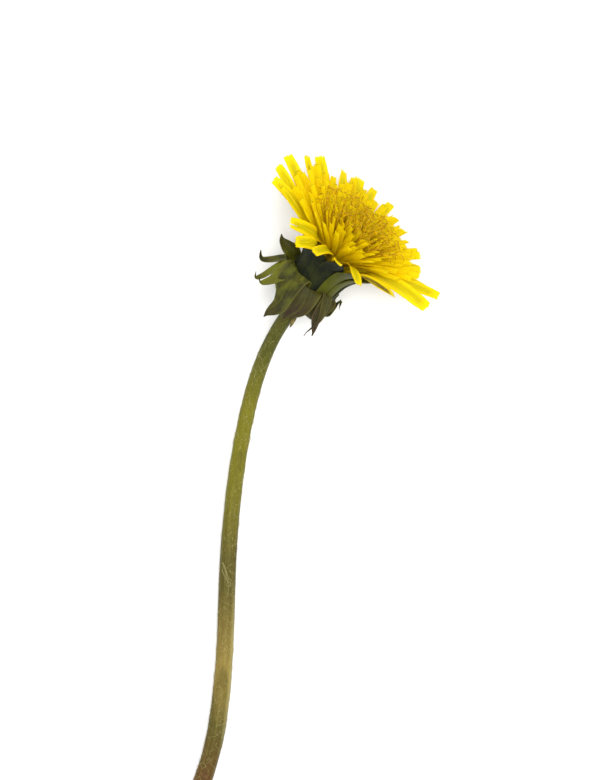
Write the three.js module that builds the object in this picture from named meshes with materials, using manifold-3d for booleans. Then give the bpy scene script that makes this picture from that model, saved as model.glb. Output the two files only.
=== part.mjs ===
// A cut dandelion, lying on a table. Millimetres, +Z up, +Y towards the head, +X to the right
// as it is seen from above. Inside the head, "up" is a height along the head's own axis from the
// top of the stem, "out" is a distance from that axis, and "turn" is an angle round it.
import * as THREE from "three";
import { mergeVertices } from "three/addons/utils/BufferGeometryUtils.js";
import Module from "manifold-3d";

const wasm = await Module();
wasm.setup();

// ---- Driving dimensions, in mm and degrees ----

const GAP = 0.3; // between pieces that touch

const STEM_LENGTH = 120;
const STEM_TOP_RADIUS = 1.6;
const STEM_END_RADIUS = 2.05;
const STEM_WALL = 0.6;
// The stem's heading at equal steps from the head to the cut end, from -Y towards -X.
const STEM_HEADINGS = [40, 25, 14.6, 9.9, 6.2, 3.2, 1.8, 4.4, 10.6, 20.5, 26];

const HEAD_HEADING = 39.4; // of the head's axis, from +Y towards +X
const HEAD_LIFT = 20; // of the head's axis, above the table

const RECEPTACLE_RADIUS = 4.8;
const RECEPTACLE_HEIGHT = 4.4;

// The cup of inner bracts, which flares at its mouth.
const INNER_BRACTS = 13;
const CUP_RADIUS = 5.5;
const CUP_HEIGHT = 15.2;
const CUP_FLARE = 4.1;
const INNER_BRACT_THICKNESS = 0.5;

const OUTER_BRACT_WIDTH = 3.2;
const OUTER_BRACT_THICKNESS = 0.5;
// Each outer bract: its turn, how high its fold stands, then how far out and how high its tip is.
const OUTER_BRACTS = [
  [172, 8.2, 11.9, 10.2],
  [190, 7.6, 14, 5.6],
  [206, 8.6, 13, 2.0],
  [222, 7.4, 13.3, 2.6],
  [243, 8.4, 9.6, -3.0],
  [268, 7.4, 8.8, -1.2],
  [300, 8.4, 10.5, -0.6],
  [322, 7.2, 9.9, -0.6],
  [341, 8.2, 9.8, 2.2],
  [10, 6.4, 10.2, 5.6],
  [48, 6.4, 11.2, 1.5],
  [88, 4.2, 12.8, -2.6],
  [124, 4.4, 15.2, -3.0],
];

const HEAD_REACH = 22.5; // of the straps of the outer whorls, from the head's axis
const STRAP_WIDTH = 2.3;
const STRAP_THICKNESS = 0.36;
const OVARY_RADIUS = 0.45;
const TUBE_RADIUS = 0.36;
// Each ray floret of the two outer whorls, which take turns: its turn, its share of the reach,
// and how far its tip stands above the mouth of the cup.
const RAY_FLORETS = [
  [8, 1.03, 6.8],
  [20, 1.0, 5.8],
  [42, 1.0, 4.7],
  [52.5, 1.0, 5.0],
  [63, 1.0, 5.1],
  [73, 1.0, 6.4],
  [85, 1.0, 9.2],
  [98, 1.0, 9.4],
  [108, 1.0, 9.6],
  [119, 1.0, 9.0],
  [132, 0.99, 7.6],
  [140, 0.99, 9.6],
  [148, 0.99, 9.0],
  [169, 1.0, 9.2],
  [186, 1.0, 7.8],
  [201, 1.0, 6.9],
  [213, 0.93, 6.5],
  [234, 0.93, 5.6],
  [245, 0.9, 2.4],
  [259, 0.84, 2.8],
  [275, 0.93, 5.3],
  [291, 0.89, 4.6],
  [318, 0.93, 5.8],
  [346, 1.04, 6.1],
];

const MIDDLE_FLORETS = 28;
const MIDDLE_REACH = 15.5;
const MIDDLE_RISE = 7.6; // of the middle straps' tips, above the mouth of the cup
const CENTRE_RADIUS = 8.6;
const CENTRE_RISE = 10.6; // of the top of the head, above the mouth of the cup
const CENTRE_RIDGES = 24;

// ---- Materials ----

const material = (color, roughness) =>
  new THREE.MeshStandardMaterial({ color, roughness, metalness: 0 });

const STEM_SKIN = material(0x8a8a35, 0.55);
const FLESH = material(0xa9b070, 0.7);
const DARK_BRACT = material(0x2f3a2c, 0.6);
const OLIVE_BRACT = material(0x666a2c, 0.6);
const YELLOW_STRAP = material(0xfadf08, 0.6);
const GOLD_STRAP = material(0xe8c204, 0.65);

// ---- Shape helpers ----

const radians = THREE.MathUtils.degToRad;

// A point of the head.
function place(out, up, turn) {
  return new THREE.Vector3(out * Math.cos(turn), out * Math.sin(turn), up);
}

// A closed strip through stations, each of which gives its place, its turn, half its width and
// half its depth. It is a cylinder whose rings of points are moved to the stations.
function strip(stations, sides) {
  const steps = stations.length - 1;
  const shape = new THREE.CylinderGeometry(1, 1, steps, sides, steps, false, Math.PI / sides);
  const frames = stations.map((station, i) => {
    const before = stations[Math.max(i - 1, 0)].place;
    const after = stations[Math.min(i + 1, steps)].place;
    const along = after.clone().sub(before).normalize();
    const side = new THREE.Vector3(-Math.sin(station.turn), Math.cos(station.turn), 0);
    side.addScaledVector(along, -side.dot(along)).normalize();
    return { side, back: side.clone().cross(along) };
  });
  const points = shape.attributes.position;
  for (let i = 0; i < points.count; i++) {
    const ring = Math.round(points.getY(i) + steps / 2);
    const station = stations[ring];
    const moved = station.place.clone();
    moved.addScaledVector(frames[ring].side, points.getX(i) * station.width);
    moved.addScaledVector(frames[ring].back, points.getZ(i) * station.depth);
    points.setXYZ(i, moved.x, moved.y, moved.z);
  }
  return shape;
}

// A solid of revolution round the head's axis, from points of [out, up].
function turned(outline, segments) {
  const profile = outline.map(([out, up]) => new THREE.Vector2(out, up));
  return new THREE.LatheGeometry(profile, segments).rotateX(Math.PI / 2);
}

function toSolid(geometry) {
  const bare = geometry.clone();
  bare.deleteAttribute("normal");
  bare.deleteAttribute("uv");
  const merged = mergeVertices(bare, 1e-4);
  return new wasm.Manifold(
    new wasm.Mesh({
      numProp: 3,
      vertProperties: new Float32Array(merged.attributes.position.array),
      triVerts: new Uint32Array(merged.index.array),
    }),
  );
}

function joined(geometries) {
  const solids = geometries.map(toSolid);
  const mesh = solids.reduce((whole, next) => whole.add(next)).getMesh();
  const geometry = new THREE.BufferGeometry();
  geometry.setAttribute("position", new THREE.BufferAttribute(mesh.vertProperties, 3));
  geometry.setIndex(new THREE.BufferAttribute(mesh.triVerts, 1));
  geometry.computeVertexNormals();
  return geometry;
}

function named(name, geometry, surface) {
  const mesh = new THREE.Mesh(geometry, surface);
  mesh.name = name;
  return mesh;
}

const numbered = (name, i) => name + "_" + String(i + 1).padStart(2, "0");

// ---- The cup's wall, which every layer inside it follows ----

const CUP_WALL = new THREE.SplineCurve([
  new THREE.Vector2(RECEPTACLE_RADIUS + GAP + INNER_BRACT_THICKNESS / 2, 0.16 * CUP_HEIGHT),
  new THREE.Vector2(CUP_RADIUS, 0.33 * CUP_HEIGHT),
  new THREE.Vector2(CUP_RADIUS + 0.01 * CUP_FLARE, 0.53 * CUP_HEIGHT),
  new THREE.Vector2(CUP_RADIUS + 0.16 * CUP_FLARE, 0.72 * CUP_HEIGHT),
  new THREE.Vector2(CUP_RADIUS + 0.54 * CUP_FLARE, 0.895 * CUP_HEIGHT),
  new THREE.Vector2(CUP_RADIUS + CUP_FLARE, CUP_HEIGHT),
]);

// A point beside the wall at a share t of its length, a distance inside it: x is out, y is up.
function insideWall(t, distance) {
  const along = CUP_WALL.getTangentAt(t);
  const inward = new THREE.Vector2(-along.y, along.x);
  return CUP_WALL.getPointAt(t).addScaledVector(inward, distance);
}

const OUTER_WHORL = INNER_BRACT_THICKNESS / 2 + GAP + TUBE_RADIUS + 0.05;
const SECOND_WHORL = OUTER_WHORL + 2 * OVARY_RADIUS + GAP;
const MIDDLE_WHORL = SECOND_WHORL + OVARY_RADIUS + GAP;
const CENTRE_WHORL = MIDDLE_WHORL + STRAP_THICKNESS + 2 * GAP;

// ---- Receptacle ----

const RECEPTACLE_OUTLINE = [
  [0, 0],
  [STEM_TOP_RADIUS, 0],
  [0.56 * RECEPTACLE_RADIUS, 0.11 * RECEPTACLE_HEIGHT],
  [0.92 * RECEPTACLE_RADIUS, 0.41 * RECEPTACLE_HEIGHT],
  [RECEPTACLE_RADIUS, 0.59 * RECEPTACLE_HEIGHT],
  [0.97 * RECEPTACLE_RADIUS, 0.73 * RECEPTACLE_HEIGHT],
  [0.62 * RECEPTACLE_RADIUS, 0.9 * RECEPTACLE_HEIGHT],
  [0, RECEPTACLE_HEIGHT],
];

// The height of the receptacle's upper face at a distance from the head's axis.
function receptacleTop(out) {
  const [rim, shoulder, middle] = RECEPTACLE_OUTLINE.slice(-3);
  const [inner, outer] = out > shoulder[0] ? [shoulder, rim] : [middle, shoulder];
  const share = Math.min((out - inner[0]) / (outer[0] - inner[0]), 1);
  return THREE.MathUtils.lerp(inner[1], outer[1], share);
}

function receptacle() {
  const SEGMENTS = 16;
  return named("receptacle", turned(RECEPTACLE_OUTLINE, SEGMENTS), FLESH);
}

// ---- Stem ----

// The lowest point of the head stands on the table, and the stem curves down from it until its
// underside lies on the table too. The result is a list of rings from the head to the cut end.
function stemRings(headHeight, steps) {
  const turns = new THREE.SplineCurve(
    STEM_HEADINGS.map((heading, i) => new THREE.Vector2(i, radians(heading))),
  );
  const lift = radians(HEAD_LIFT);
  const drop = headHeight - STEM_TOP_RADIUS;
  const slopingLength = (drop * lift) / (1 - Math.cos(lift));
  const step = STEM_LENGTH / steps;
  const rings = [];
  const place = new THREE.Vector3(0, 0, headHeight);
  for (let i = 0; i <= steps; i++) {
    const middle = (i + 0.5) / steps;
    const heading = turns.getPoint(Math.min(middle, 1)).y;
    const slope = lift * Math.max(0, 1 - (middle * STEM_LENGTH) / slopingLength);
    const along = new THREE.Vector3(
      -Math.sin(heading) * Math.cos(slope),
      -Math.cos(heading) * Math.cos(slope),
      -Math.sin(slope),
    );
    rings.push({ place: place.clone(), along });
    place.addScaledVector(along, step);
  }
  return rings;
}

function stem(headHeight) {
  const STEPS = 36;
  const SIDES = 10;
  const radius = (share) => THREE.MathUtils.lerp(STEM_TOP_RADIUS, STEM_END_RADIUS, share);
  const rings = stemRings(headHeight, STEPS);
  const shares = rings.map((ring, i) => i / STEPS);
  const outside = shares.map((s) => new THREE.Vector2(radius(s), s * STEPS));
  const bore = shares.map((s) => new THREE.Vector2(radius(s) - STEM_WALL, s * STEPS));
  const outline = [...outside, ...bore.reverse(), outside[0]];
  const tube = new THREE.LatheGeometry(outline, SIDES);
  const points = tube.attributes.position;
  for (let i = 0; i < points.count; i++) {
    const share = points.getY(i) / STEPS;
    const ring = rings[Math.round(points.getY(i))];
    const side = new THREE.Vector3(ring.along.y, -ring.along.x, 0).normalize();
    const top = side.clone().cross(ring.along);
    const moved = ring.place.clone();
    moved.addScaledVector(ring.along, ring === rings[0] ? GAP : 0);
    moved.z += radius(share) - STEM_TOP_RADIUS;
    moved.addScaledVector(side, points.getX(i));
    moved.addScaledVector(top, points.getZ(i));
    points.setXYZ(i, moved.x, moved.y, moved.z);
  }
  return named("scape", tube, STEM_SKIN);
}

// ---- Head ----

function innerBract(i) {
  const WIDTHS = [0.62, 0.8, 0.86, 0.84, 0.8, 0.72, 0.5, 0.16];
  const turn = (i / INNER_BRACTS) * 2 * Math.PI;
  const room = ((2 * Math.PI) / INNER_BRACTS) * CUP_RADIUS - GAP;
  const stations = WIDTHS.map((width, k) => {
    const point = CUP_WALL.getPointAt(k / (WIDTHS.length - 1));
    return {
      place: place(point.x, point.y, turn),
      turn,
      width: (width * room) / 2,
      depth: INNER_BRACT_THICKNESS / 2,
    };
  });
  return named(numbered("inner_bract", i), strip(stations, 6), DARK_BRACT);
}

// An outer bract leaves the receptacle, hugs the cup, folds over and hangs outside itself. Every
// second bract stands one layer further out, and its fold nests inside its neighbours' folds.
function outerBract([degrees, fold, tipOut, tipUp], i) {
  const WIDTHS = [0.5, 0.75, 0.95, 1, 0.9, 0.62, 0.36, 0.1];
  const turn = radians(degrees);
  const layer = i % 2;
  const hug =
    CUP_RADIUS +
    INNER_BRACT_THICKNESS / 2 +
    (GAP + OUTER_BRACT_THICKNESS) * (layer + 0.5) +
    1.1 * GAP;
  const foldWidth = layer ? 1.6 : 3;
  const route = new THREE.CatmullRomCurve3(
    [
      place(RECEPTACLE_RADIUS - 0.1 - 0.8 * layer, 1.15 - 0.6 * layer, turn),
      place(hug - 0.05, 2.0 - 0.3 * layer, turn),
      place(hug, 0.62 * fold, turn),
      place(hug + 0.45 * foldWidth, fold, turn),
      place(hug + foldWidth, THREE.MathUtils.lerp(fold, tipUp, 0.3), turn),
      place(tipOut, tipUp, turn),
    ],
    false,
    "centripetal",
  );
  const stations = WIDTHS.map((width, k) => ({
    place: route.getPointAt(k / (WIDTHS.length - 1)),
    turn,
    width: (width * OUTER_BRACT_WIDTH) / 2,
    depth: OUTER_BRACT_THICKNESS / 2,
  }));
  return named(numbered("outer_bract", i), strip(stations, 6), OLIVE_BRACT);
}

// The route of a strap from beside the cup's mouth to its tip.
function strapRoute(distance, tip) {
  const mouth = insideWall(1, distance);
  const bend = mouth.clone().addScaledVector(
    CUP_WALL.getTangentAt(1),
    0.3 * mouth.distanceTo(tip),
  );
  return new THREE.QuadraticBezierCurve(mouth, bend, tip);
}

// A ray floret: ovary, neck, tube and strap in one piece. It stands at a turn halfway between its
// strap's and an even share of its whorl, and comes round to its strap's turn outside the cup.
function rayFloret([degrees, share, rise], i) {
  const IN_CUP = [
    [0.1, 0.6 * OVARY_RADIUS, 0.6 * OVARY_RADIUS],
    [0.17, OVARY_RADIUS, OVARY_RADIUS],
    [0.27, OVARY_RADIUS, OVARY_RADIUS],
    [0.33, 0.6 * TUBE_RADIUS, 0.6 * TUBE_RADIUS],
    [0.5, TUBE_RADIUS, TUBE_RADIUS],
    [0.68, 0.3 * STRAP_WIDTH, 0.8 * TUBE_RADIUS],
    [0.85, 0.36 * STRAP_WIDTH, 0.6 * STRAP_THICKNESS],
  ];
  const OUTSIDE = [
    [0, 0.8],
    [0.22, 0.95],
    [0.46, 1],
    [0.7, 1],
    [0.88, 0.92],
    [1, 0.7],
  ];
  const whorl = i % 2;
  const distance = whorl ? SECOND_WHORL : OUTER_WHORL;
  const even = (i / RAY_FLORETS.length) * 360 - 7;
  const strapTurn = radians(degrees);
  const baseTurn = radians((degrees + even) / 2);
  const turnAt = (t) => {
    const share = THREE.MathUtils.smoothstep(t, 0.5, 1.6);
    return THREE.MathUtils.lerp(baseTurn, strapTurn, share);
  };
  const stations = IN_CUP.map(([t, width, depth]) => {
    const point = insideWall(t, distance);
    return { place: place(point.x, point.y, turnAt(t)), turn: turnAt(t), width, depth };
  });
  const foot = insideWall(IN_CUP[0][0], distance).x;
  stations[0].place.z = receptacleTop(foot - OVARY_RADIUS) + GAP;
  const tip = new THREE.Vector2(share * HEAD_REACH, CUP_HEIGHT + rise);
  const route = strapRoute(distance, tip);
  for (const [t, width] of OUTSIDE) {
    const point = route.getPoint(t);
    const turn = turnAt(1 + t);
    stations.push({
      place: place(point.x, point.y, turn),
      turn,
      width: (width * STRAP_WIDTH) / 2,
      depth: STRAP_THICKNESS / 2,
    });
  }
  return named(numbered("ray_floret", i), strip(stations, 6), YELLOW_STRAP);
}

// The middle whorls: straps that rise from one solid funnel of tubes.
function middleFlorets() {
  const SEGMENTS = 20;
  const WALL_SHARES = [0.12, 0.3, 0.5, 0.65, 0.8];
  const wall = WALL_SHARES.map((t) => insideWall(t, MIDDLE_WHORL).toArray());
  const rim = wall.at(-1);
  const floor = RECEPTACLE_HEIGHT + GAP;
  const outline = [
    [0, floor],
    [wall[0][0], floor],
    ...wall.slice(1),
    [0.8 * rim[0], rim[1] + 0.4],
    [0, rim[1] - 0.8],
  ];
  const pieces = [turned(outline, SEGMENTS)];
  for (let i = 0; i < MIDDLE_FLORETS; i++) {
    const turn = ((i + 0.25 * (i % 2)) / MIDDLE_FLORETS) * 2 * Math.PI;
    const reach = MIDDLE_REACH * (1 - 0.06 * (i % 3));
    const rise = MIDDLE_RISE + 0.4 * ((i % 3) - 1);
    const tip = new THREE.Vector2(reach, CUP_HEIGHT + rise);
    const route = strapRoute(MIDDLE_WHORL + STRAP_THICKNESS, tip);
    const start = insideWall(0.72, MIDDLE_WHORL + 2 * STRAP_THICKNESS);
    const stations = [{ place: place(start.x, start.y, turn), turn, width: 0.45, depth: 0.3 }];
    for (const [t, width] of [[0, 0.6], [0.3, 0.85], [0.7, 0.9], [1, 0.6]]) {
      const point = route.getPoint(t);
      stations.push({
        place: place(point.x, point.y, turn),
        turn,
        width: (width * STRAP_WIDTH) / 2,
        depth: STRAP_THICKNESS / 2 + 0.1,
      });
    }
    pieces.push(strip(stations, 4));
  }
  return named("middle_florets", joined(pieces), YELLOW_STRAP);
}

// The innermost florets: a low ridged dome that stands in the middle whorls.
function centralFlorets() {
  const under = [0.86, 1].map((t) => insideWall(t, CENTRE_WHORL).toArray());
  const foot = insideWall(0.8, MIDDLE_WHORL).y + GAP;
  const top = CUP_HEIGHT + CENTRE_RISE;
  const outline = [
    [0, foot],
    [0.5 * under[0][0], foot + 0.4],
    ...under,
    [CENTRE_RADIUS, top - 4],
    [0.97 * CENTRE_RADIUS, top - 2],
    [0.76 * CENTRE_RADIUS, top - 0.8],
    [0.4 * CENTRE_RADIUS, top - 0.2],
    [0, top],
  ];
  const dome = turned(outline, 2 * CENTRE_RIDGES);
  const points = dome.attributes.position;
  for (let i = 0; i < points.count; i++) {
    const out = Math.hypot(points.getX(i), points.getY(i));
    const turn = Math.atan2(points.getY(i), points.getX(i));
    const ridge = Math.round((turn / Math.PI) * CENTRE_RIDGES) % 2 ? 0.93 : 1;
    const share = out > 0.7 * CENTRE_RADIUS ? ridge : 1;
    points.setXY(i, points.getX(i) * share, points.getY(i) * share);
  }
  return named("central_florets", dome, GOLD_STRAP);
}

function head() {
  const group = new THREE.Group();
  group.add(receptacle());
  for (let i = 0; i < INNER_BRACTS; i++) {
    group.add(innerBract(i));
  }
  OUTER_BRACTS.forEach((bract, i) => group.add(outerBract(bract, i)));
  RAY_FLORETS.forEach((floret, i) => group.add(rayFloret(floret, i)));
  group.add(middleFlorets(), centralFlorets());
  group.rotation.set(radians(HEAD_LIFT - 90), 0, radians(-HEAD_HEADING), "ZYX");
  return group;
}

// ---- The flower, set down with the middle of its box's underside at the origin ----

const flower = new THREE.Group();
const flowerHead = head();
flower.add(flowerHead);
flower.updateMatrixWorld(true);
flowerHead.position.z = -new THREE.Box3().setFromObject(flowerHead, true).min.z;
flower.add(stem(flowerHead.position.z));
flower.updateMatrixWorld(true);
const box = new THREE.Box3().setFromObject(flower, true);
const middle = box.getCenter(new THREE.Vector3());
flower.position.set(-middle.x, -middle.y, -box.min.z);
flower.updateMatrixWorld(true);

export default flower;
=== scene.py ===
"""A cut dandelion lying on a pale table, built piece by piece on its packed model.

Lengths inside the functions are in mm. In the head, a point is (right, far, up): up runs along
the head's own axis from the top of the stem, and a turn is an angle round that axis from right
towards far.
"""

import math

import bpy
import numpy as np
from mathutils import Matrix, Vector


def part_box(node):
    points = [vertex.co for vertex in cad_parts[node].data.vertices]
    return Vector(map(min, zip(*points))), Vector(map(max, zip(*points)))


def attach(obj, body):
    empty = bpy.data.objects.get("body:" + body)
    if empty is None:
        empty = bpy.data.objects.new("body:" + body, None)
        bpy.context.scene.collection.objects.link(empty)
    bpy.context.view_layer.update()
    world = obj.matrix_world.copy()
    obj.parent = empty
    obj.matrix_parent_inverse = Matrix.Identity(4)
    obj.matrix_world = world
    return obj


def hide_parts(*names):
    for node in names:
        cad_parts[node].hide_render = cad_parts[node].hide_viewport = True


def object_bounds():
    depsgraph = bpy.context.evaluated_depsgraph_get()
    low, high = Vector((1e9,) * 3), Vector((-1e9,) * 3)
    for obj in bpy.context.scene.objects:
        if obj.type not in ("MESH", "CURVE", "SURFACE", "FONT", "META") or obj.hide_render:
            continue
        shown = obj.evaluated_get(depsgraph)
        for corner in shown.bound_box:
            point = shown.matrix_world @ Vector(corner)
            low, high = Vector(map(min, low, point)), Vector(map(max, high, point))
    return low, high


bl_info = {
    "name": "Cut Dandelion",
    "version": (1, 0, 0),
    "blender": (4, 5, 0),
    "location": "View3D > Sidebar > Dandelion",
    "description": "Builds a cut dandelion, piece by piece, on its packed model",
    "category": "Add Mesh",
}

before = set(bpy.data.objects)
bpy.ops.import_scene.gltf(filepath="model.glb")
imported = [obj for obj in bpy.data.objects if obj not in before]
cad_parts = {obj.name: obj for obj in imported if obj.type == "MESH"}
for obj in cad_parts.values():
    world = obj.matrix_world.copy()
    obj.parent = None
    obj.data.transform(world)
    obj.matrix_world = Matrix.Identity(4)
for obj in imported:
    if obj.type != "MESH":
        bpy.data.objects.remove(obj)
CAD_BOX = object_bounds()

MM = 0.001
GAP = 0.3

STEM_LENGTH = 120
STEM_TOP_RADIUS = 1.6
STEM_END_RADIUS = 2.05
STEM_WALL = 0.6
# The stem's heading at equal steps from the head to the cut end, from -Y towards -X.
STEM_HEADINGS = [40, 25, 14.6, 9.9, 6.2, 3.2, 1.8, 4.0, 8.6, 18.0, 23]

HEAD_HEADING = math.radians(39.4)
HEAD_LIFT = math.radians(20)
RECEPTACLE_RADIUS = 4.8
RECEPTACLE_HEIGHT = 4.4
CUP_RADIUS = 5.5
CUP_HEIGHT = 15.2
CUP_FLARE = 4.1
HEAD_REACH = 22.5
DOME_HEIGHT = 25.3  # of the middle of the head, above the top of the stem

BRACTS = 13  # in the cup, and as many folded ones outside it
# From the cup's wall to the two outer whorls of florets, turn and turn about.
OUTER_WHORLS = (0.96, 2.16)
OVARY_RADIUS = 0.45
STEM_HAIRS = 320
SCRATCH_HAIRS = 9  # of them, side by side at the scratch
SCRATCH_PLACE = 0.518  # as a share of the stem's length
TABLE_DROP = 0.1  # from the flower's lowest point down to the table
TABLE_WIDTH = 6000
# From the joint of head and stem to the point under the camera.
CAMERA_PLACE = (2.09, -18.94)


# ---- Where the head stands ----


def head_frame():
    """The joint of head and stem, and the head's three directions as columns."""
    up = np.array(
        [
            math.sin(HEAD_HEADING) * math.cos(HEAD_LIFT),
            math.cos(HEAD_HEADING) * math.cos(HEAD_LIFT),
            math.sin(HEAD_LIFT),
        ]
    )
    right = np.array([math.cos(HEAD_HEADING), -math.sin(HEAD_HEADING), 0])
    top_corner = np.array(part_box("scape")[1]) / MM
    ring = top_corner - STEM_TOP_RADIUS * np.sqrt(1 - up**2)
    return ring + GAP * up, np.column_stack([right, np.cross(up, right), up])


JOINT, HEAD = head_frame()
OVERHEAD = HEAD.T @ np.array([0, 0, 1])  # straight up from the table, as the head sees it


def from_head(points):
    """Points of the head, in the table's frame."""
    return JOINT + points @ HEAD.T


# ---- Curves and surfaces ----


def smooth(x, low, high):
    """0 below low, 1 above high, and an even S between them."""
    share = np.clip((np.asarray(x, float) - low) / (high - low), 0, 1)
    return share * share * (3 - 2 * share)


def unit(vectors):
    """Vectors of length 1."""
    return vectors / np.linalg.norm(vectors, axis=-1, keepdims=True)


def spline(knots, shares):
    """Points at shares of the way along an even Catmull-Rom curve through knots."""
    knots = np.asarray(knots, float)
    if knots.ndim == 1:
        return spline(knots[:, None], shares)[:, 0]
    place = np.clip(np.asarray(shares, float), 0, 1) * (len(knots) - 1)
    start = np.minimum(place.astype(int), len(knots) - 2)
    t = (place - start)[:, None]
    before, after = np.maximum(start - 1, 0), np.minimum(start + 2, len(knots) - 1)
    a, b = knots[start], knots[start + 1]
    lead, follow = (b - knots[before]) / 2, (knots[after] - a) / 2
    bend = -3 * a + 3 * b - 2 * lead - follow
    close = 2 * a - 2 * b + lead + follow
    return a + lead * t + bend * t**2 + close * t**3


def evenly(points, count):
    """The same curve with count points, an equal distance apart."""
    reach = reached(points)
    places = np.linspace(0, reach[-1], count)
    return np.stack([np.interp(places, reach, column) for column in points.T], axis=1)


def reached(points):
    """How far along a curve each of its points is."""
    return np.concatenate([[0], np.cumsum(np.linalg.norm(np.diff(points, axis=0), axis=1))])


def length_of(points):
    """The length of a curve."""
    return np.linalg.norm(np.diff(points, axis=0), axis=1).sum()


CUP_WALL = evenly(
    spline(
        [
            (RECEPTACLE_RADIUS + 0.55, 0.16 * CUP_HEIGHT),
            (CUP_RADIUS, 0.33 * CUP_HEIGHT),
            (CUP_RADIUS + 0.01 * CUP_FLARE, 0.53 * CUP_HEIGHT),
            (CUP_RADIUS + 0.16 * CUP_FLARE, 0.72 * CUP_HEIGHT),
            (CUP_RADIUS + 0.54 * CUP_FLARE, 0.895 * CUP_HEIGHT),
            (CUP_RADIUS + CUP_FLARE, CUP_HEIGHT),
        ],
        np.linspace(0, 1, 300),
    ),
    200,
)
CUP_WALL_ALONG = unit(np.gradient(CUP_WALL, axis=0))


def inside_wall(shares, distance):
    """(out, up) beside the cup's wall at shares of its length, a distance inside it."""
    places = np.asarray(shares, float) * (len(CUP_WALL) - 1)
    steps = np.arange(len(CUP_WALL))
    out, up = (np.interp(places, steps, column) for column in CUP_WALL.T)
    along_out, along_up = (np.interp(places, steps, column) for column in CUP_WALL_ALONG.T)
    return np.stack([out - along_up * distance, up + along_out * distance], axis=-1)


def turned(profile, turns):
    """Points of the head from (out, up) pairs and their turns."""
    out, up = np.asarray(profile).T
    return np.stack([out * np.cos(turns), out * np.sin(turns), up], axis=1)


def sideways(turn, count):
    """The level direction across a blade at a turn of the head, once for each point of its path."""
    return np.tile([-math.sin(turn), math.cos(turn), 0], (count, 1))


def bent(knots, count=40):
    """A quadratic curve through its first and last knot, pulled towards the middle one."""
    t = np.linspace(0, 1, count)[:, None]
    a, b, c = (np.asarray(knot, float) for knot in knots)
    return (1 - t) ** 2 * a + 2 * t * (1 - t) * b + t**2 * c


def facing_twist(path, reference, share):
    """The turn about its own length that brings a strap's face round to the table's open side."""
    along = unit(path[-1] - path[len(path) // 2])
    side = unit(reference[-1] - reference[-1].dot(along) * along)
    face = np.cross(along, side)
    needed = math.atan2(OVERHEAD.dot(side), OVERHEAD.dot(face))
    return share * max(-1.4, min(1.4, -needed))


def triples(*marks):
    """Three marks of each point of a grid, point by point."""
    return np.stack(np.broadcast_arrays(*marks), -1).reshape(-1, 3)


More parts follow.
